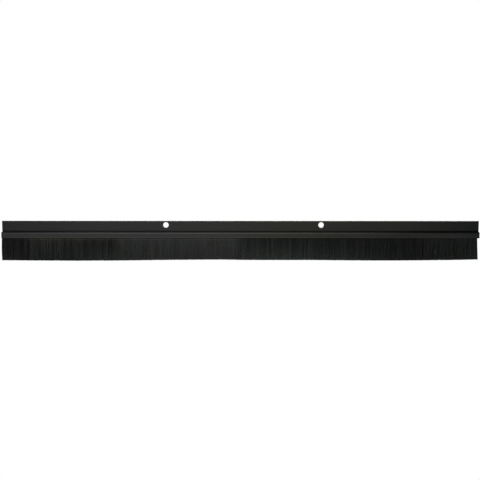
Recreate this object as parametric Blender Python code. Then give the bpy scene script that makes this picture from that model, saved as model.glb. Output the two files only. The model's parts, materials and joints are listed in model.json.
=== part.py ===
"""Brush door sweep, 36 in (914.4 mm) long: a black aluminium carrier that is fixed to the foot of a door,
and a strip brush that slides lengthwise in the carrier's pocket and seals the gap under the door.

Frame: X along the sweep, -Y is the front, the door stands behind it at +Y, Z up.
Origin: on the door face of the flange, at the middle of the carrier's length, level with the fixing holes.
All lengths are in metres; the section constants below are in millimetres and are scaled by MM.
"""

import math

import bmesh
import bpy
from mathutils import Vector

MM = 0.001

# ---- carrier extrusion ----
CARRIER_LENGTH = 914.4  # 36 in, the width of a standard door leaf
FLANGE_THICKNESS = 2.0
FLANGE_TOP_Z = 7.8  # above the line of the fixing holes
HOLE_DIAMETER = 10.5
HOLE_X = (-142.9, 154.7)
GROOVE_TOP_Z = -11.7  # undercut groove along the flange's foot, between flange and rib
GROOVE_DEPTH = 0.9
GROOVE_ROOF = 1.2  # height over which the groove's sloping roof runs in to its full depth
VALLEY_Z = -13.7  # bottom of the groove; the rib's top rises from here to its shoulder
RIB_FRONT_Y = -12.0
RIB_SHOULDER_Z = -12.3  # where the rib's top and its front face would meet without the rounding
RIB_SHOULDER_R = 3.5
RIB_TAPER = 0.6  # the rib's front face leans back this much towards its shoulder
RIB_BOTTOM_Z = -24.3
POCKET_HALF = 4.3  # half the width of the pocket that the brush slides in
POCKET_TOP_Z = -14.7
LIP_TOP_Z = -22.8
MOUTH_HALF = 2.5

# ---- strip brush ----
GAP = 0.3  # clearance between neighbouring pieces
BRUSH_Y = -6.0  # middle plane of the pocket and of the brush
BRUSH_START_X = -457.0
BRUSH_LENGTH = 911.0
CHANNEL_HALF = 4.0
CHANNEL_TOP_Z = POCKET_TOP_Z - GAP
CHANNEL_BOTTOM_Z = LIP_TOP_Z + GAP
CHANNEL_WALL = 0.8
CHANNEL_KNEE_Z = CHANNEL_BOTTOM_Z + 2.4
CHANNEL_PINCH = 0.8  # how far each leg is pressed in at the mouth
WIRE_Z = CHANNEL_TOP_Z - 3.5
WIRE_R = 1.2

# ---- bristles ----
ROOT_HALF = 2.05  # half the thickness of the row where it leaves the channel
FLEX_Z = RIB_BOTTOM_Z - 1.0  # the line that the bristles bend about, just below the lips
ROOT_END_Z = FLEX_Z + ROOT_HALF + 0.4
TIP_HALF = 3.1
TIP_Z = -67.4
SECTIONS = 16


# ---------------------------------------------------------------- helpers


def clear_scene():
    for obj in list(bpy.data.objects):
        bpy.data.objects.remove(obj, do_unlink=True)


def material(name, color, roughness, metallic):
    mat = bpy.data.materials.new(name)
    mat.use_nodes = True
    shader = mat.node_tree.nodes["Principled BSDF"]
    shader.inputs["Base Color"].default_value = (*color, 1.0)
    shader.inputs["Roughness"].default_value = roughness
    shader.inputs["Metallic"].default_value = metallic
    mat.diffuse_color = (*color, 1.0)
    return mat


def rounded(corners, steps=14):
    """The outline through corners (y, z, radius), each corner replaced by an arc of its radius."""
    points = []
    count = len(corners)
    for i, (y, z, r) in enumerate(corners):
        here = Vector((y, z))
        if r <= 0:
            points.append(here)
            continue
        before = Vector(corners[i - 1][:2]) - here
        after = Vector(corners[(i + 1) % count][:2]) - here
        before.normalize()
        after.normalize()
        half = before.angle(after) / 2
        reach = r / math.tan(half)
        middle = here + (before + after).normalized() * (r / math.sin(half))
        a = here + before * reach - middle
        b = here + after * reach - middle
        turn = math.atan2(a.x * b.y - a.y * b.x, a.dot(b))
        n = max(2, round(steps * abs(turn) / (math.pi / 2)))
        for k in range(n + 1):
            t = turn * k / n
            c, s = math.cos(t), math.sin(t)
            points.append(middle + Vector((a.x * c - a.y * s, a.x * s + a.y * c)))
    return points


def finish(name, bm, mat, origin, parent=None, smooth_angle=35.0):
    """Puts the mesh's origin at origin (mm) and links it as one named object."""
    bmesh.ops.recalc_face_normals(bm, faces=bm.faces)
    bmesh.ops.translate(bm, verts=bm.verts, vec=-Vector(origin))
    bmesh.ops.scale(bm, verts=bm.verts, vec=Vector((MM, MM, MM)))
    mesh = bpy.data.meshes.new(name)
    bm.to_mesh(mesh)
    bm.free()
    mesh.shade_smooth()
    mesh.set_sharp_from_angle(angle=math.radians(smooth_angle))
    if mat:
        mesh.materials.append(mat)
    obj = bpy.data.objects.new(name, mesh)
    bpy.context.scene.collection.objects.link(obj)
    place = Vector(origin) * MM
    if parent:
        obj.parent = parent
        place = place - parent.location
    obj.location = place
    return obj


def extrusion(outline, x0, x1):
    """A closed bar of the given (y, z) outline from x0 to x1."""
    bm = bmesh.new()
    near = [bm.verts.new((x0, p[0], p[1])) for p in outline]
    cap = bm.faces.new(near)
    made = bmesh.ops.extrude_face_region(bm, geom=[cap])
    moved = [v for v in made["geom"] if isinstance(v, bmesh.types.BMVert)]
    bmesh.ops.translate(bm, verts=moved, vec=(x1 - x0, 0, 0))
    return bm


def cutter(name, radius, start, end, segments=48):
    """A round bar from start to end that only cuts."""
    a, b = Vector(start), Vector(end)
    bm = bmesh.new()
    bmesh.ops.create_cone(
        bm,
        cap_ends=True,
        segments=segments,
        radius1=radius,
        radius2=radius,
        depth=(b - a).length,
    )
    turn = (b - a).to_track_quat("Z", "Y").to_matrix()
    bmesh.ops.rotate(bm, verts=bm.verts, cent=(0, 0, 0), matrix=turn)
    bmesh.ops.translate(bm, verts=bm.verts, vec=(a + b) / 2)
    obj = finish(name, bm, None, (a + b) / 2)
    obj.hide_render = True
    obj.display_type = "WIRE"
    return obj


def cut(obj, tool):
    mod = obj.modifiers.new("cut_" + tool.name, "BOOLEAN")
    mod.operation = "DIFFERENCE"
    mod.solver = "EXACT"
    mod.object = tool


def trim(x):
    """How much longer the bristles are than their mean length at x, in mm: a slightly wavy trimmed edge."""
    return math.cos(2 * math.pi * (x + 316.0) / 620.0)


# ---------------------------------------------------------------- pieces


def carrier(mat):
    front = -FLANGE_THICKNESS
    pocket_front = BRUSH_Y - POCKET_HALF
    pocket_back = BRUSH_Y + POCKET_HALF
    mouth_front = BRUSH_Y - MOUTH_HALF
    mouth_back = BRUSH_Y + MOUTH_HALF
    outline = rounded(
        [
            (0.0, FLANGE_TOP_Z, 0.4),
            (front, FLANGE_TOP_Z, 0.6),
            # undercut groove at the flange's foot
            (front, GROOVE_TOP_Z, 0.1),
            (front + GROOVE_DEPTH, GROOVE_TOP_Z - GROOVE_ROOF, 0.2),
            (front + GROOVE_DEPTH, VALLEY_Z, 0.25),
            # rib
            (RIB_FRONT_Y + RIB_TAPER, RIB_SHOULDER_Z, RIB_SHOULDER_R),
            (RIB_FRONT_Y, RIB_BOTTOM_Z, 0.35),
            (mouth_front, RIB_BOTTOM_Z, 0.5),
            (mouth_front, LIP_TOP_Z, 0.3),
            # pocket
            (pocket_front, LIP_TOP_Z, 0.4),
            (pocket_front, POCKET_TOP_Z, 2.0),
            (pocket_back, POCKET_TOP_Z, 2.0),
            (pocket_back, LIP_TOP_Z, 0.4),
            (mouth_back, LIP_TOP_Z, 0.3),
            (mouth_back, RIB_BOTTOM_Z, 0.5),
            (0.0, RIB_BOTTOM_Z, 0.6),
        ]
    )
    half = CARRIER_LENGTH / 2
    obj = finish("carrier", extrusion(outline, -half, half), mat, (0, 0, 0))
    for i, x in enumerate(HOLE_X, 1):
        tool = cutter(
            f"fixing_hole_{i}", HOLE_DIAMETER / 2, (x, -6.0, 0), (x, 4.0, 0), 64
        )
        cut(obj, tool)
    return obj


def backing_channel(mat, parent):
    """The roll-formed steel channel that grips the filaments; its legs are pressed in at the mouth."""
    half, top, low, knee = (
        CHANNEL_HALF,
        CHANNEL_TOP_Z,
        CHANNEL_BOTTOM_Z,
        CHANNEL_KNEE_Z,
    )
    wall, pinch = CHANNEL_WALL, CHANNEL_PINCH
    left = [
        (-half, top, 2.2),
        (-half, knee, 1.5),
        (-half + pinch, low, 0.2),
        (-half + pinch + wall, low, 0.2),
        (-half + wall, knee, 1.0),
        (-half + wall, top - wall, 1.4),
    ]
    right = [(-y, z, r) for y, z, r in reversed(left)]
    outline = rounded([(BRUSH_Y + y, z, r) for y, z, r in left + right], 8)
    bm = extrusion(outline, BRUSH_START_X, BRUSH_START_X + BRUSH_LENGTH)
    return finish("backing_channel", bm, mat, (0, BRUSH_Y, top), parent)


def core_wire(mat, parent):
    outline = [
        Vector((BRUSH_Y + WIRE_R * math.cos(t), WIRE_Z + WIRE_R * math.sin(t)))
        for t in (2 * math.pi * k / 24 for k in range(24))
    ]
    bm = extrusion(outline, BRUSH_START_X, BRUSH_START_X + BRUSH_LENGTH)
    return finish("core_wire", bm, mat, (0, BRUSH_Y, WIRE_Z), parent)


def filament_roots(mat, parent):
    """The filaments' folded ends, clamped in the channel round the core wire."""
    half = CHANNEL_HALF - CHANNEL_WALL - GAP - 0.05
    left = [
        (-half, CHANNEL_TOP_Z - CHANNEL_WALL - GAP, 1.7),
        (-half, CHANNEL_KNEE_Z, 0.8),
        (-ROOT_HALF, CHANNEL_BOTTOM_Z, 0.5),
        (-ROOT_HALF, ROOT_END_Z, 0.0),
    ]
    right = [(-y, z, r) for y, z, r in reversed(left)]
    outline = rounded([(BRUSH_Y + y, z, r) for y, z, r in left + right], 8)
    x1 = BRUSH_START_X + BRUSH_LENGTH
    bm = extrusion(outline, BRUSH_START_X, x1)
    obj = finish("filament_roots", bm, mat, (0, BRUSH_Y, WIRE_Z), parent)
    tool = cutter(
        "wire_tunnel",
        WIRE_R + GAP,
        (BRUSH_START_X - 5, BRUSH_Y, WIRE_Z),
        (x1 + 5, BRUSH_Y, WIRE_Z),
        24,
    )
    cut(obj, tool)
    return obj


def bristles(number, mat, parent):
    """One section of the free bristles. Its rounded top is centred on the line it bends about."""
    pitch = BRUSH_LENGTH / SECTIONS
    x0 = BRUSH_START_X + (number - 1) * pitch + GAP / 2
    x1 = BRUSH_START_X + number * pitch - GAP / 2
    top = [
        (ROOT_HALF * math.cos(t), FLEX_Z + ROOT_HALF * math.sin(t))
        for t in (math.pi * k / 12 for k in range(13))
    ]
    bm = bmesh.new()
    rings = []
    for x in (x0, x1):
        low = TIP_Z - trim(x)
        edge = [*top, (-TIP_HALF, low + 1.0), (-TIP_HALF + 0.5, low)]
        edge += [(TIP_HALF - 0.5, low), (TIP_HALF, low + 1.0)]
        rings.append([bm.verts.new((x, BRUSH_Y + y, z)) for y, z in edge])
    count = len(rings[0])
    bm.faces.new(rings[0])
    bm.faces.new(list(reversed(rings[1])))
    for k in range(count):
        n = (k + 1) % count
        bm.faces.new((rings[0][k], rings[0][n], rings[1][n], rings[1][k]))
    bmesh.ops.triangulate(bm, faces=bm.faces)
    origin = ((x0 + x1) / 2, BRUSH_Y, FLEX_Z)
    return finish(f"bristles_{number:02d}", bm, mat, origin, parent)


# ---------------------------------------------------------------- assembly


def main():
    clear_scene()
    black_aluminium = material("black_aluminium", (0.022, 0.022, 0.021), 0.42, 0.0)
    galvanised = material("galvanised_steel", (0.52, 0.53, 0.54), 0.45, 1.0)
    wire_steel = material("wire_steel", (0.42, 0.42, 0.43), 0.4, 1.0)
    nylon = material("black_nylon", (0.016, 0.017, 0.017), 0.5, 0.0)

    carrier(black_aluminium)

    # the whole strip brush hangs on this empty and slides along X
    slide = bpy.data.objects.new("brush_slide_axis", None)
    bpy.context.scene.collection.objects.link(slide)
    slide.location = Vector((0.0, BRUSH_Y, WIRE_Z)) * MM

    backing_channel(galvanised, slide)
    core_wire(wire_steel, slide)
    filament_roots(nylon, slide)
    for number in range(1, SECTIONS + 1):
        bristles(number, nylon, slide)


main()
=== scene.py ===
import json
import math

import bmesh
import bpy
import numpy as np
from mathutils import Matrix, Vector


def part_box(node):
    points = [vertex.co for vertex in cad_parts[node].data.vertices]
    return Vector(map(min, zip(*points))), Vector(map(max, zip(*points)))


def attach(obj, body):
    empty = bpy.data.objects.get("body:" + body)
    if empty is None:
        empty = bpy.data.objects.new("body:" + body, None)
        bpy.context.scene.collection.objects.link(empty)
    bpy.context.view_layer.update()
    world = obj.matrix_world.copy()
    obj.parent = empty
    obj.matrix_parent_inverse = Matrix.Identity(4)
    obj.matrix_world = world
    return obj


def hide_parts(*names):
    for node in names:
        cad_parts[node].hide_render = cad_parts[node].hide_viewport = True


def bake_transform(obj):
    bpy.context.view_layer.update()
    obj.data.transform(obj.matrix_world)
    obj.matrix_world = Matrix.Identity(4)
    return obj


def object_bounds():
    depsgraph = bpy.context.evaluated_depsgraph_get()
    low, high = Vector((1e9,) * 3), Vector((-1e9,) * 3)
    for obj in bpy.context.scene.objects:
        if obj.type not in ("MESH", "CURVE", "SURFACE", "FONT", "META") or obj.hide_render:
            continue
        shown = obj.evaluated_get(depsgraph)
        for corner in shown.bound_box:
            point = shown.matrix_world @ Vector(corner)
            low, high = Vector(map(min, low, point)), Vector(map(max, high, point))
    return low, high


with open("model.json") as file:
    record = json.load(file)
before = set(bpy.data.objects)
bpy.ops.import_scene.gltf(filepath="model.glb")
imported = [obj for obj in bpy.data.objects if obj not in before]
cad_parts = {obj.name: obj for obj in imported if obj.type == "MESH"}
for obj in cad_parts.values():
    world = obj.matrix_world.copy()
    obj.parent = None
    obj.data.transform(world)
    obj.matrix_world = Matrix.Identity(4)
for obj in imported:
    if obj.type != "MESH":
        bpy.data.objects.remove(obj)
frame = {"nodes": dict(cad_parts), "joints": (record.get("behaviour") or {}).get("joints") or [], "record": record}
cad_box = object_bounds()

MM = 0.001
rng = np.random.default_rng(41)

# ------------------------------------------------------------------ measures from the frame

carrier_lo, carrier_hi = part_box("carrier")
strip_lo, strip_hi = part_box("backing_channel")
wire_lo, wire_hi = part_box("core_wire")
roots_lo, roots_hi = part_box("filament_roots")
SECTIONS = sorted(n for n in frame["nodes"] if n.startswith("bristles_"))
JOINTS = {j["child"]: j for j in frame["joints"]}
BODY_OF = {
    node: body
    for body, nodes in frame["record"]["behaviour"]["bodies"].items()
    for node in nodes
}
FLEX = JOINTS[BODY_OF[SECTIONS[0]]]["pos_m"]  # a point on the line that the bristles bend about
BRUSH_Y = FLEX[1]
FLEX_Z = FLEX[2]
RIB_BOTTOM = carrier_lo.z
GROOVE_HIGH, GROOVE_LOW = -11.65 * MM, -13.75 * MM  # the undercut groove between flange and rib
TIP_Z = min(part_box(n)[0].z for n in SECTIONS) + 1.0 * MM  # the mean of the trimmed edge
X0, X1 = strip_lo.x, strip_hi.x

# ------------------------------------------------------------------ camera

PITCH = math.radians(8.0)
DISTANCE = 2.078
aim = Vector((-0.0008, -0.002, -0.0291))
away = Vector((0.0, -math.cos(PITCH), math.sin(PITCH)))
cam_data = bpy.data.cameras.new("camera")
cam_data.sensor_width = 36.0
cam_data.lens = 81.09
cam_data.clip_end = 100.0
camera = bpy.data.objects.new("camera", cam_data)
bpy.context.scene.collection.objects.link(camera)
turn = (-away).to_track_quat("-Z", "Y").to_matrix().to_4x4()
roll = Matrix.Rotation(math.radians(0.03), 4, "Z")
camera.matrix_world = Matrix.Translation(aim + away * DISTANCE) @ turn @ roll
bpy.context.scene.camera = camera

# ------------------------------------------------------------------ node helpers


class Nodes:
    """A few short calls for writing a material's nodes."""

    def __init__(self, name):
        self.mat = bpy.data.materials.new(name)
        self.mat.use_nodes = True
        self.tree = self.mat.node_tree
        self.shader = self.tree.nodes["Principled BSDF"]
        self.coord = self.tree.nodes.new("ShaderNodeTexCoord")
        self.geo = self.tree.nodes.new("ShaderNodeNewGeometry")

    def new(self, kind, **settings):
        node = self.tree.nodes.new(kind)
        for k, v in settings.items():
            setattr(node, k, v)
        return node

    def link(self, a, b):
        self.tree.links.new(a, b)

    def scaled(self, x, y, z, offset=(0, 0, 0)):
        m = self.new("ShaderNodeMapping")
        m.inputs["Scale"].default_value = (x, y, z)
        m.inputs["Location"].default_value = offset
        self.link(self.coord.outputs["Object"], m.inputs["Vector"])
        return m.outputs["Vector"]

    def noise(self, vector, scale=1.0, detail=2.0, rough=0.5):
        n = self.new("ShaderNodeTexNoise")
        n.inputs["Scale"].default_value = scale
        n.inputs["Detail"].default_value = detail
        n.inputs["Roughness"].default_value = rough
        self.link(vector, n.inputs["Vector"])
        return n.outputs["Fac"]

    def ramp(self, value, stops):
        r = self.new("ShaderNodeValToRGB")
        e = r.color_ramp.elements
        while len(e) < len(stops):
            e.new(0.5)
        for slot, (at, color) in zip(e, stops):
            slot.position = at
            slot.color = (*color, 1.0) if len(color) == 3 else color
        self.link(value, r.inputs["Fac"])
        return r.outputs["Color"]

    def span(self, value, a, b, c, d):
        m = self.new("ShaderNodeMapRange", clamp=True)
        for k, v in zip(("From Min", "From Max", "To Min", "To Max"), (a, b, c, d)):
            m.inputs[k].default_value = v
        self.link(value, m.inputs["Value"])
        return m.outputs["Result"]

    def math(self, op, a, b=None):
        m = self.new("ShaderNodeMath", operation=op)
        for k, v in enumerate((a, b)):
            if v is None:
                continue
            if isinstance(v, (int, float)):
                m.inputs[k].default_value = v
            else:
                self.link(v, m.inputs[k])
        return m.outputs[0]

    def mix(self, fac, a, b, kind="MIX"):
        m = self.new("ShaderNodeMix", data_type="RGBA", blend_type=kind)
        for socket, v in ((m.inputs[0], fac), (m.inputs[6], a), (m.inputs[7], b)):
            if isinstance(v, (int, float)):
                socket.default_value = v
            elif isinstance(v, tuple):
                socket.default_value = (*v, 1.0)
            else:
                self.link(v, socket)
        return m.outputs[2]

    def bump(self, height, strength, distance, under=None):
        b = self.new("ShaderNodeBump")
        b.inputs["Strength"].default_value = strength
        b.inputs["Distance"].default_value = distance
        self.link(height, b.inputs["Height"])
        if under is not None:
            self.link(under, b.inputs["Normal"])
        return b.outputs["Normal"]

    def set(self, socket, v):
        s = self.shader.inputs[socket]
        if isinstance(v, (int, float)):
            s.default_value = v
        elif isinstance(v, tuple):
            s.default_value = (*v, 1.0)
        else:
            self.link(v, s)


# ------------------------------------------------------------------ materials


def black_anodised():
    """Satin black anodised extrusion: faint die lines along its length, cloudy tone, saw-cut ends."""
    n = Nodes("black_anodised")
    lines = n.noise(n.scaled(1.5, 900, 900), 1.0, 3.0, 0.6)  # die lines, along X
    fine = n.noise(n.scaled(12, 3500, 3500), 1.0, 2.0, 0.5)
    cloud = n.noise(n.scaled(9, 40, 40), 1.0, 3.0, 0.55)
    tone = n.mix(0.5, n.ramp(cloud, [(0.3, (0.0192, 0.0195, 0.0178)), (0.7, (0.0258, 0.026, 0.024))]),
                 n.ramp(lines, [(0.3, (0.0182, 0.0184, 0.0171)), (0.7, (0.0268, 0.027, 0.0252))]))
    # saw-cut ends: bare aluminium with fine blade marks, where the face looks along X
    side = n.new("ShaderNodeSeparateXYZ")
    n.link(n.geo.outputs["True Normal"], side.inputs[0])
    end = n.span(n.math("ABSOLUTE", side.outputs["X"]), 0.9, 0.97, 0.0, 1.0)
    blade = n.noise(n.scaled(50, 300, 2600), 1.0, 2.0, 0.6)
    bare = n.ramp(blade, [(0.3, (0.24, 0.24, 0.237)), (0.7, (0.38, 0.38, 0.376))])
    # painted shade: the undercut groove at the flange's foot is painted much darker than the faces round it, darkest at
    # the left end and least dark at the right end
    at = n.new("ShaderNodeSeparateXYZ")
    n.link(n.scaled(1, 1, 1), at.inputs[0])
    low = n.span(at.outputs["Z"], GROOVE_LOW - 0.1 * MM, GROOVE_LOW + 0.1 * MM, 0.0, 1.0)
    high = n.span(at.outputs["Z"], GROOVE_HIGH - 0.1 * MM, GROOVE_HIGH + 0.1 * MM, 1.0, 0.0)
    behind = n.span(at.outputs["Y"], -4.4 * MM, -2.6 * MM, 0.0, 1.0)
    front = n.span(at.outputs["Y"], -0.9 * MM, -0.6 * MM, 1.0, 0.0)  # the door face is plain
    groove = n.math("MULTIPLY", n.math("MULTIPLY", low, high), n.math("MULTIPLY", behind, front))
    groove_painted_shade = n.math("ADD", n.span(at.outputs["X"], -450 * MM, -330 * MM, 0.12, 0.33), n.span(at.outputs["X"], 230 * MM, 340 * MM, 0.0, 0.9))
    tone = n.mix(groove, tone, n.mix(1.0, tone, groove_painted_shade, "MULTIPLY"))
    # painted shade: the flange is painted darker than the rib, a little more so right of the middle
    upper = n.math("MAXIMUM", n.span(at.outputs["Z"], GROOVE_HIGH - 0.2 * MM, GROOVE_HIGH + 0.3 * MM, 0.0, 1.0), n.math("SUBTRACT", 1.0, front))
    tone = n.mix(upper, tone, n.mix(1.0, tone, n.span(at.outputs["X"], -50 * MM, 120 * MM, 0.62, 0.55), "MULTIPLY"))
    # painted shade and light on the rib: its upper-edge highlight is painted darker towards both ends, the rib is
    # painted darker in its right-hand half, and a painted highlight runs along its lower edge
    rib = n.math("SUBTRACT", 1.0, upper)
    edge = n.math("MULTIPLY", n.span(at.outputs["Z"], -15.8 * MM, -14.4 * MM, 0.0, 1.0), rib)
    painted_shade_at_ends = n.math("MULTIPLY", n.span(at.outputs["X"], -450 * MM, -280 * MM, 0.35, 1.0), n.span(at.outputs["X"], 200 * MM, 340 * MM, 1.0, 0.04))
    tone = n.mix(edge, tone, n.mix(1.0, tone, painted_shade_at_ends, "MULTIPLY"))
    # painted highlight: the rib's lower edge is painted 1.35 times paler
    low = n.math("MULTIPLY", n.span(at.outputs["Z"], -22.6 * MM, -21.9 * MM, 1.0, 0.0), rib)
    tone = n.mix(low, tone, n.mix(1.0, tone, (1.35, 1.35, 1.35), "MULTIPLY"))
    # painted shade: the rib is painted a little darker from left of the middle and more so in its right-hand half
    dull = n.math("MULTIPLY", n.span(at.outputs["X"], -260 * MM, -210 * MM, 0.98, 0.92), n.span(at.outputs["X"], -20 * MM, 160 * MM, 1.0, 0.72))
    tone = n.mix(rib, tone, n.mix(1.0, tone, dull, "MULTIPLY"))
    # painted light: the last stretch at the right is painted paler again, the flange from 240 mm on and the rib from
    # 325 mm on
    painted_light_right = n.math("MULTIPLY", n.span(at.outputs["X"], 240 * MM, 300 * MM, 1.0, 1.26), n.span(at.outputs["X"], 385 * MM, 410 * MM, 1.0, 0.905))
    tone = n.mix(upper, tone, n.mix(1.0, tone, painted_light_right, "MULTIPLY"))
    painted_light_right = n.math("MULTIPLY", n.span(at.outputs["X"], 325 * MM, 385 * MM, 1.0, 1.53), n.span(at.outputs["X"], 415 * MM, 440 * MM, 1.0, 0.9))
    tone = n.mix(rib, tone, n.mix(1.0, tone, painted_light_right, "MULTIPLY"))
    # the dye runs from neutral at the left to a warm black right of the middle
    hue = n.ramp(n.span(at.outputs["X"], X0, X1, 0.0, 1.0), [
        (0.0, (1.0, 1.0, 1.06)), (0.32, (1.0, 1.0, 1.03)), (0.46, (0.99, 1.0, 0.97)), (0.52, (0.97, 1.0, 0.84)), (0.56, (0.965, 1.0, 0.75)), (0.7, (0.97, 1.0, 0.74)),
        (0.75, (0.985, 1.0, 0.8)), (0.82, (0.985, 1.0, 0.8)), (0.88, (1.0, 1.0, 0.92)), (0.96, (0.95, 1.0, 0.99)), (1.0, (0.8, 1.0, 1.0))])
    n.set("Base Color", n.mix(end, n.mix(1.0, tone, hue, "MULTIPLY"), bare))
    n.set("Metallic", n.math("MULTIPLY", end, 0.45))
    n.set("Roughness", n.span(n.math("ADD", n.math("MULTIPLY", lines, 0.6), n.math("MULTIPLY", fine, 0.4)), 0.3, 0.7, 0.36, 0.5))
    n.set("Specular IOR Level", 0.34)
    n.set("Normal", n.bump(fine, 0.25, 0.00006, n.bump(lines, 0.35, 0.00012)))
    return n.mat


def galvanised():
    """Dull galvanised strip: soft spangle, rolling lines along its length, a few darker streaks."""
    n = Nodes("galvanised")
    v = n.new("ShaderNodeTexVoronoi")
    v.inputs["Scale"].default_value = 330
    n.link(n.scaled(1, 1, 1), v.inputs["Vector"])
    grey = n.new("ShaderNodeSeparateColor")
    n.link(v.outputs["Color"], grey.inputs[0])
    spangle = n.ramp(grey.outputs[0], [(0.0, (0.36, 0.37, 0.385)), (1.0, (0.52, 0.53, 0.54))])
    lines = n.noise(n.scaled(4, 1200, 1200), 1.0, 3.0, 0.6)
    dull = n.ramp(lines, [(0.35, (0.33, 0.335, 0.34)), (0.65, (0.5, 0.505, 0.51))])
    n.set("Base Color", n.mix(0.45, spangle, dull))
    n.set("Metallic", 1.0)
    n.set("Roughness", n.span(n.math("ADD", n.math("MULTIPLY", grey.outputs[1], 0.5), n.math("MULTIPLY", lines, 0.5)), 0.2, 0.8, 0.34, 0.56))
    n.set("Normal", n.bump(lines, 0.3, 0.00008))
    return n.mat


def drawn_wire():
    n = Nodes("drawn_wire")
    lines = n.noise(n.scaled(20, 2600, 2600), 1.0, 3.0, 0.6)
    cloud = n.noise(n.scaled(160, 160, 160), 1.0, 2.0, 0.5)
    n.set("Base Color", n.mix(0.5, n.ramp(lines, [(0.3, (0.25, 0.25, 0.26)), (0.7, (0.45, 0.45, 0.455))]),
                              n.ramp(cloud, [(0.3, (0.27, 0.26, 0.25)), (0.7, (0.43, 0.43, 0.43))])))
    n.set("Metallic", 1.0)
    n.set("Roughness", n.span(lines, 0.3, 0.7, 0.28, 0.48))
    n.set("Normal", n.bump(lines, 0.3, 0.00005))
    return n.mat


def nylon(name, dark, light, rough_lo, rough_hi, spec):
    """Black nylon filament. "tone" is each hair's shade, 0 to 1 and a little over: its own tone, and for the free hairs
    also painted light and shade along the row; the noise adds a slow drift along it.
    """
    n = Nodes(name)
    a = n.new("ShaderNodeAttribute", attribute_name="tone")
    drift = n.noise(n.scaled(420, 420, 60), 1.0, 2.0, 0.5)
    shade = n.math("ADD", n.math("MULTIPLY", a.outputs["Fac"], 0.5), n.span(drift, 0.25, 0.75, -0.015, 0.015))
    # faint drift of tint along the row, between olive and blue-green, and greener in its right-hand half
    at = n.new("ShaderNodeSeparateXYZ")
    n.link(n.scaled(1, 1, 1), at.inputs[0])
    tint = n.ramp(n.noise(n.scaled(38, 5, 20), 1.0, 2.0, 0.5), [(0.35, (1.04, 1.0, 0.9)), (0.65, (0.97, 1.0, 1.0))])
    tint = n.mix(1.0, tint, n.ramp(n.span(at.outputs["X"], X0, X1, 0.0, 1.0), [
        (0.0, (0.97, 1.0, 1.0)), (0.1, (0.9, 1.0, 0.95)), (0.27, (0.9, 1.0, 0.92)), (0.32, (0.98, 1.0, 1.03)), (0.49, (1.0, 1.0, 1.05)), (0.53, (0.83, 1.0, 0.93)), (1.0, (0.79, 1.0, 0.91))]), "MULTIPLY")
    # in the row's left third the roots are olive and the tips blue-green
    left = n.math("MULTIPLY", n.span(at.outputs["X"], -250 * MM, -200 * MM, 1.0, 0.0), n.span(at.outputs["X"], -430 * MM, -385 * MM, 0.0, 1.0))
    up = n.span(at.outputs["Z"], FLEX_Z - 26 * MM, FLEX_Z - 8 * MM, 0.0, 1.0)
    tint = n.mix(left, tint, n.mix(1.0, tint, n.ramp(up, [(0.0, (0.92, 1.0, 1.04)), (1.0, (1.07, 1.0, 0.85))]), "MULTIPLY"))
    n.set("Base Color", n.mix(1.0, n.ramp(shade, [(0.0, dark), (0.5, light), (1.0, tuple(2 * c for c in light))]), tint, "MULTIPLY"))
    n.set("Roughness", n.span(n.noise(n.scaled(900, 900, 120), 1.0, 2.0, 0.5), 0.3, 0.7, rough_lo, rough_hi))
    n.set("Specular IOR Level", spec)
    return n.mat


METAL = black_anodised()
ZINC = galvanised()
WIRE = drawn_wire()
HAIR = nylon("nylon_hair", (0.0015, 0.0016, 0.0016), (0.1, 0.103, 0.102), 0.4, 0.58, 0.3)
ROOT = nylon("nylon_root", (0.002, 0.002, 0.002), (0.05, 0.05, 0.05), 0.4, 0.6, 0.35)


def finish_with(obj, mat):
    obj.data.materials.clear()
    obj.data.materials.append(mat)


finish_with(frame["nodes"]["carrier"], METAL)
finish_with(frame["nodes"]["backing_channel"], ZINC)
finish_with(frame["nodes"]["core_wire"], WIRE)
for node in ("carrier", "backing_channel", "core_wire"):
    mesh = frame["nodes"][node].data
    mesh.shade_smooth()
    mesh.set_sharp_from_angle(angle=math.radians(32))

# ------------------------------------------------------------------ filaments


def tubes(name, paths, radii, tones, mat, side=None, sides=3):
    """One mesh of closed thin tubes. paths is (hairs, points, 3), radii and tones are (hairs, points).
    side is the ring's first axis at each point, +X if left out; the second is at right angles to it and the path."""
    count, steps = paths.shape[:2]
    along = np.gradient(paths, axis=1)
    along /= np.linalg.norm(along, axis=2, keepdims=True)
    first = np.zeros_like(paths)
    first[..., 0] = 1.0
    if side is not None:
        first = side
    second = np.cross(along, first)
    second /= np.linalg.norm(second, axis=2, keepdims=True)
    first = np.cross(second, along)
    spin = rng.uniform(0, 2 * math.pi, count)
    rings = []
    for k in range(sides):
        a = spin + 2 * math.pi * k / sides
        c, s = np.cos(a)[:, None, None], np.sin(a)[:, None, None]
        rings.append(paths + radii[..., None] * (first * c + second * s))
    verts = np.stack(rings, axis=2)  # hair, point, side, xyz
    index = np.arange(count * steps * sides).reshape(count, steps, sides)
    a = index[:, :-1, :]
    b = index[:, 1:, :]
    quads = np.stack([a, np.roll(a, -1, axis=2), np.roll(b, -1, axis=2), b], axis=-1).reshape(-1, 4)
    start = index[:, 0, ::-1]
    stop = index[:, -1, :]
    mesh = bpy.data.meshes.new(name)
    faces = quads.tolist() + start.tolist() + stop.tolist()
    mesh.from_pydata(verts.reshape(-1, 3).tolist(), [], faces)
    mesh.update()
    bm = bmesh.new()
    bm.from_mesh(mesh)
    if bm.calc_volume() < 0:
        bmesh.ops.reverse_faces(bm, faces=bm.faces)
        bm.to_mesh(mesh)
    bm.free()
    tone = mesh.attributes.new("tone", "FLOAT", "POINT")
    tone.data.foreach_set("value", np.repeat(tones[..., None], sides, axis=2).astype(np.float32).ravel())
    mesh.shade_smooth()
    mesh.set_sharp_from_angle(angle=math.radians(75))
    mesh.materials.append(mat)
    obj = bpy.data.objects.new(name, mesh)
    bpy.context.scene.collection.objects.link(obj)
    return obj


def curve(x, points):
    """Straight lines through (x, value) points."""
    xs, ys = zip(*points)
    return np.interp(x, xs, ys)


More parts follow.
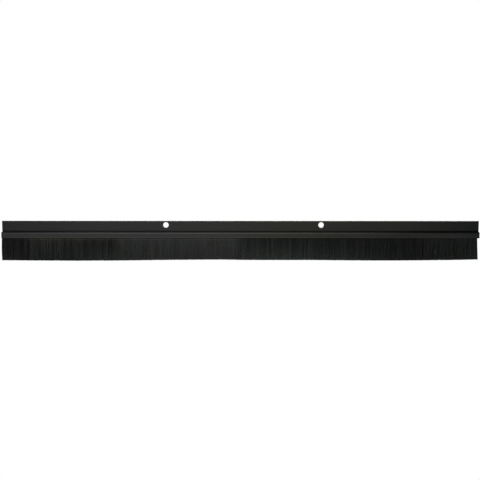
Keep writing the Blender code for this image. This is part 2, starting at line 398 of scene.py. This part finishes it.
def wave(x, seed, length, octaves=3):
    """Smooth random wave of x, about -1 to 1, of the given longest wavelength."""
    r = np.random.default_rng(seed)
    total = np.zeros_like(x)
    for k in range(octaves):
        for _ in range(3):
            total += (0.55**k) * np.sin(2 * math.pi * x / (length * r.uniform(0.7, 1.4) / 2**k) + r.uniform(0, 6.3))
    return total / 3.0


# how the trimmed edge wanders along the row, mm beyond the mean length
TRIM = [(-457, 0.3), (-408, 0.7), (-316, 1.1), (-223, 0.65), (-131, -0.6), (-39, -1.3), (7, -0.5), (70, -0.4),
        (145, -0.4), (237, 0.4), (306, 0.4), (399, -0.5), (455, -1.6)]
# broad tone of the row just below the rib, in its middle and at its tip, partly the hairs' own shade and partly painted
# light and shade: darkest at the left end and near the right end, paler from the left hole to the middle, and with
# painted shade below the rib right of the middle
ROW_TONE_AND_PAINTED_LIGHT = [
    (-455, 0.02, 0.02, 0.15), (-425, 0.02, 0.02, 0.12), (-375, 0.25, 0.2, 0.2), (-340, 0.15, 0.1, 0.12), (-250, 0.12, 0.1, 0.35),
    (-220, 0.3, 0.25, 0.3), (-10, 0.32, 0.28, 0.28), (5, 0.13, 0.2, 0.37), (100, 0.07, 0.13, 0.4), (220, 0.07, 0.08, 0.27),
    (335, 0.02, 0.01, 0.11), (375, 0.13, 0.1, 0.18), (455, 0.16, 0.15, 0.26)]


def free_bristles():
    count = 24000
    steps = 6
    x = X0 + 0.2 * MM + (X1 - X0 - 0.4 * MM) * (np.arange(count) + rng.random(count)) / count
    y = rng.uniform(-1.0, 1.0, count)
    y = np.sign(y) * np.abs(y) ** 0.85 * 1.75 * MM

    # tufts: hairs lean towards the middle of their tuft, and each tuft has a lean of its own
    edges = [X0 - 5 * MM]
    while edges[-1] < X1 + 5 * MM:
        edges.append(edges[-1] + rng.lognormal(math.log(3.4), 0.55) * MM)
    edges = np.array(edges)
    tuft = np.searchsorted(edges, x + rng.normal(0, 0.25 * MM, count)) - 1
    tuft = np.clip(tuft, 0, len(edges) - 2)
    middle = (edges[tuft] + edges[tuft + 1]) / 2
    tufts = len(edges)
    loose = np.where(np.arange(count) % 9 < 5, 0.0, 1.0)  # the others stand straight and fill the row
    ruffled = loose * curve(x / MM, [(-457, 0.25), (-425, 0.3), (-395, 1.4), (-230, 1.2), (-190, 0.6), (110, 0.6), (220, 0.3), (457, 0.25)])
    pull = rng.uniform(0.0, 0.22, tufts)[tuft] * ruffled
    lean = (rng.normal(0, 0.4, tufts)[tuft] * ruffled + 0.6 * wave(x, 3, 0.09)) * MM
    forth = (rng.normal(0, 0.3, tufts)[tuft] * ruffled + 0.3 * wave(x, 5, 0.2)) * MM
    dark = rng.normal(0, 1.0, tufts)[tuft]
    # in the row's left third the tufts gather in clumps about 9 mm wide, with partings between them where the hairs
    # carry painted shade
    own_rng = np.random.default_rng(77)
    parts = np.cumsum(own_rng.lognormal(math.log(8.5), 0.35, 140)) * MM + X0 - 3 * MM
    clump = np.searchsorted(parts, x)
    apart = np.abs(x[:, None] - parts[None, :]).min(axis=1) / MM
    clumped = curve(x / MM, [(-410, 0.0), (-396, 1.0), (-236, 1.0), (-205, 0.35), (-150, 0.15), (60, 0.1), (457, 0.0)])
    parting_painted_shade = np.clip(1.0 - apart / 1.3, 0.0, 1.0) * clumped
    clump_tone = own_rng.normal(0, 0.03, 141)[clump] * clumped
    clump_lean = own_rng.normal(0, 0.9, 141)[clump] * MM * clumped * loose

    stray = rng.random(count) < 0.04
    own = rng.normal(0, 0.14 + 0.12 * loose, count) * MM
    own[stray] = rng.normal(0, 1.8, stray.sum()) * MM
    tip_x = x + pull * (middle - x) + lean + own + clump_lean
    # the row opens out a little at both ends
    outer = np.clip((X0 + 7 * MM - x) / (7 * MM), 0, 1)
    tip_x += 2.4 * MM * np.clip((x - (X1 - 14 * MM)) / (14 * MM), 0, 1) ** 1.5 - 0.7 * MM * outer
    tip_x = np.clip(tip_x, X0 - 0.7 * MM, X1 + 2.5 * MM)
    tip_y = BRUSH_Y + y * 1.45 + forth + rng.normal(0, 0.18, count) * MM
    tip_z = TIP_Z - curve(x / MM, TRIM) * MM + rng.normal(0, 0.28, count) * MM
    tip_z += np.where(rng.random(count) < 0.12, rng.uniform(0.0, 1.6, count), 0.0) * MM

    top = np.full(count, FLEX_Z + 4.2 * MM)
    t = np.array([0.0, 0.08, 0.17, 0.42, 0.7, 1.0])[None, :]
    bend = (rng.normal(0, 0.45, tufts)[tuft] * ruffled + rng.normal(0, 0.14, count) - 1.3 * outer) * MM
    paths = np.zeros((count, steps, 3))
    ease = t**1.35
    paths[..., 0] = x[:, None] + (tip_x - x)[:, None] * ease + bend[:, None] * t * (1 - t) * 2
    paths[..., 1] = (BRUSH_Y + y)[:, None] + (tip_y - BRUSH_Y - y)[:, None] * ease
    paths[..., 2] = top[:, None] + (tip_z - top)[:, None] * t
    radius = (rng.uniform(0.15, 0.22, count) + 0.04 * (1 - loose)) * MM
    radii = radius[:, None] * np.linspace(1.0, 0.86, steps)[None, :]

    at = x / MM
    # the row's tone at root, middle and tip, partly own shade and partly painted light and shade
    root, mid, tip = (curve(at, [(s[0], s[k]) for s in ROW_TONE_AND_PAINTED_LIGHT])[:, None] for k in (1, 2, 3))
    slow = np.where(t < 0.55, root + (mid - root) * (t - 0.17) / 0.38, mid + (tip - mid) * (t - 0.55) / 0.45)
    under_rib_painted_light = curve(at, [(-457, 2.4), (-400, 4.6), (-250, 4.8), (-215, 4.2), (-20, 4.2), (10, 3.0), (60, 2.4), (455, 2.5)])[:, None]
    under_rib_painted_lift = curve(at, [(-440, 0.05), (-412, 0.2), (-395, 0.2), (-372, 0.05), (-340, 0.12), (-312, 0.3), (-250, 0.42), (-225, 0.1), (457, 0.06)])[:, None]
    slow = np.where(t < 0.1, root * under_rib_painted_light + under_rib_painted_lift, slow)  # painted light: the ends just below the rib, in its cast shadow, are painted paler
    # broad painted highlight streaks where bunches of tufts catch the light, strongest in the row's left third
    streak = curve(at, [(-457, 0.004), (-425, 0.004), (-395, 0.06), (-230, 0.05), (-200, 0.011), (0, 0.011), (60, 0.013), (170, 0.006), (455, 0.004)])
    bunch = wave(at, 11, 26.0, 3) * streak * 1.3
    tones = slow + bunch[:, None] * (1.25 - 0.6 * t) + (dark * (0.002 + streak * 0.4) + clump_tone)[:, None] + rng.normal(0, 0.02, count)[:, None]
    # painted shade: hairs near a parting are painted up to 0.6 darker
    tones *= 1.0 - (0.6 * parting_painted_shade)[:, None]
    tones = np.clip(tones, 0.0, 1.5)

    bounds = [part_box(n) for n in SECTIONS]
    cuts = np.array([(a[1].x + b[0].x) / 2 for a, b in zip(bounds, bounds[1:])])
    section = np.searchsorted(cuts, x)
    for i, node in enumerate(SECTIONS):
        pick = section == i
        obj = tubes(f"hair_{i + 1:02d}", paths[pick], radii[pick], tones[pick], HAIR, sides=4)
        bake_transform(obj)
        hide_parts(node)


def root_bundle():
    """The clamped roots: a packed, ribbed mass along the channel, and single folded hairs over the wire at each end."""
    wire_z = (wire_lo.z + wire_hi.z) / 2
    inset = 3.2 * MM
    half = (roots_hi.y - roots_lo.y) / 2 - 0.1 * MM
    top = roots_hi.z - 0.05 * MM
    low = roots_lo.z + 0.2 * MM
    outline = []
    for k in range(9):  # over the wire
        a = math.pi * k / 8
        outline.append((half * math.cos(a), top - half * 0.62 + half * 0.62 * math.sin(a)))
    outline += [(-half, wire_z - 0.9 * MM), (-1.95 * MM, strip_lo.z + 0.5 * MM), (-1.85 * MM, low), (1.85 * MM, low),
                (1.95 * MM, strip_lo.z + 0.5 * MM), (half, wire_z - 0.9 * MM)]
    bm = bmesh.new()
    rings = []
    stations = np.linspace(X0 + inset, X1 - inset, 240)
    for x in stations:
        swell = 1.0 + 0.012 * math.sin(x * 2600) * math.sin(x * 911)
        rings.append([bm.verts.new((x, BRUSH_Y + y * swell, z)) for y, z in outline])
    for a, b in zip(rings, rings[1:]):
        for k in range(len(outline)):
            n = (k + 1) % len(outline)
            bm.faces.new((a[k], a[n], b[n], b[k]))
    bm.faces.new(rings[0])
    bm.faces.new(list(reversed(rings[-1])))
    bmesh.ops.recalc_face_normals(bm, faces=bm.faces)
    mesh = bpy.data.meshes.new("root_mass")
    bm.to_mesh(mesh)
    bm.free()
    tone = mesh.attributes.new("tone", "FLOAT", "POINT")
    tone.data.foreach_set("value", np.full(len(mesh.vertices), 0.3, np.float32))
    mesh.shade_smooth()
    mesh.set_sharp_from_angle(angle=math.radians(50))
    mesh.materials.append(ROOT)
    obj = bpy.data.objects.new("root_mass", mesh)
    bpy.context.scene.collection.objects.link(obj)
    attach(obj, "brush_strip")
    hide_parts("filament_roots")

    for label, x_from, x_to in (("left", X0 + 0.25 * MM, X0 + inset), ("right", X1 - inset, X1 - 0.25 * MM)):
        paths = []
        for layer in range(3):
            r = 1.2 * MM + (0.27 + 0.5 * layer) * MM
            reach = [(r if layer < 2 else r - 0.1 * MM)]
            for x in np.arange(x_from, x_to, 0.5 * MM):
                x = x + rng.uniform(-0.1, 0.1) * MM
                exit_y = (0.55 + 0.55 * layer) * MM
                path = [(-exit_y, strip_lo.z - 0.2 * MM), (-(exit_y + reach[0]) / 2, wire_z - 2.3 * MM)]
                for k in range(9):
                    a = math.pi * (1.0 - k / 8)
                    path.append((reach[0] * math.cos(a), wire_z + reach[0] * math.sin(a)))
                path += [((exit_y + reach[0]) / 2, wire_z - 2.3 * MM), (exit_y, strip_lo.z - 0.2 * MM)]
                paths.append([(x, BRUSH_Y + p[0], p[1]) for p in path])
        paths = np.array(paths)
        radii = np.full(paths.shape[:2], 0.235 * MM)
        tones = np.repeat(rng.uniform(0.25, 0.6, len(paths))[:, None], paths.shape[1], axis=1)
        loops = tubes(f"root_loops_{label}", paths, radii, tones, ROOT, sides=6)
        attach(loops, "brush_strip")


free_bristles()
root_bundle()

# ------------------------------------------------------------------ floor, light


def area(name, place, target, size, energy, color=(1, 1, 1)):
    data = bpy.data.lights.new(name, "AREA")
    data.shape = "RECTANGLE"
    data.size, data.size_y = size
    data.energy = energy
    data.color = color
    obj = bpy.data.objects.new(name, data)
    bpy.context.scene.collection.objects.link(obj)
    place, target = Vector(place), Vector(target)
    obj.matrix_world = Matrix.Translation(place) @ (target - place).to_track_quat("-Z", "Y").to_matrix().to_4x4()
    obj.visible_camera = False
    return obj


def stage():
    bm = bmesh.new()
    for corner in ((-30, -30), (30, -30), (30, 30), (-30, 30)):
        bm.verts.new((*corner, cad_box[0].z - 0.0006))
    bm.faces.new(bm.verts)
    mesh = bpy.data.meshes.new("floor")
    bm.to_mesh(mesh)
    bm.free()
    floor = bpy.data.objects.new("floor", mesh)
    bpy.context.scene.collection.objects.link(floor)
    n = Nodes("floor")
    n.set("Base Color", (0.0, 0.0, 0.0))
    n.set("Roughness", 0.9)
    n.set("Specular IOR Level", 0.0)
    n.set("Emission Color", (1.0, 1.0, 1.0))
    n.set("Emission Strength", 1.0)
    mesh.materials.append(n.mat)
    floor.visible_diffuse = False
    floor.visible_glossy = False
    floor.visible_shadow = False

    world = bpy.data.worlds.new("studio")
    world.use_nodes = True
    tree = world.node_tree
    tree.nodes.clear()
    out = tree.nodes.new("ShaderNodeOutputWorld")
    mix = tree.nodes.new("ShaderNodeMixShader")
    seen = tree.nodes.new("ShaderNodeBackground")
    lit = tree.nodes.new("ShaderNodeBackground")
    path = tree.nodes.new("ShaderNodeLightPath")
    seen.inputs["Color"].default_value = (1, 1, 1, 1)
    seen.inputs["Strength"].default_value = 1.0
    lit.inputs["Color"].default_value = (1, 1, 1, 1)
    lit.inputs["Strength"].default_value = 0.05
    tree.links.new(path.outputs["Is Camera Ray"], mix.inputs["Fac"])
    tree.links.new(lit.outputs[0], mix.inputs[1])
    tree.links.new(seen.outputs[0], mix.inputs[2])
    tree.links.new(mix.outputs[0], out.inputs["Surface"])
    bpy.context.scene.world = world

    centre = (-0.13, -0.006, -0.02)
    high = math.radians(35)
    key = (centre[0], -0.7 * math.cos(high), centre[2] + 0.7 * math.sin(high))
    area("key_softbox", key, centre, (0.98, 0.3), 4.75)
    low = math.radians(-18)
    fill = (centre[0], -0.75 * math.cos(low), centre[2] + 0.75 * math.sin(low))
    area("table_bounce", fill, centre, (1.1, 0.3), 1.2)
    area("back_softbox", (0.0, 1.3, 0.5), (0, 0, -0.03), (1.6, 0.8), 26.0)
    for side in (-1, 1):  # behind the back face and below the top, so that they light the cut ends and put no glare on the long faces
        area(f"end_softbox_{'right' if side > 0 else 'left'}", (side * 1.5, 0.32, -0.22), (side * 0.45, -0.006, -0.02), (0.5, 0.4), 5.0)


stage()
bpy.context.scene.view_settings.view_transform = "Standard"
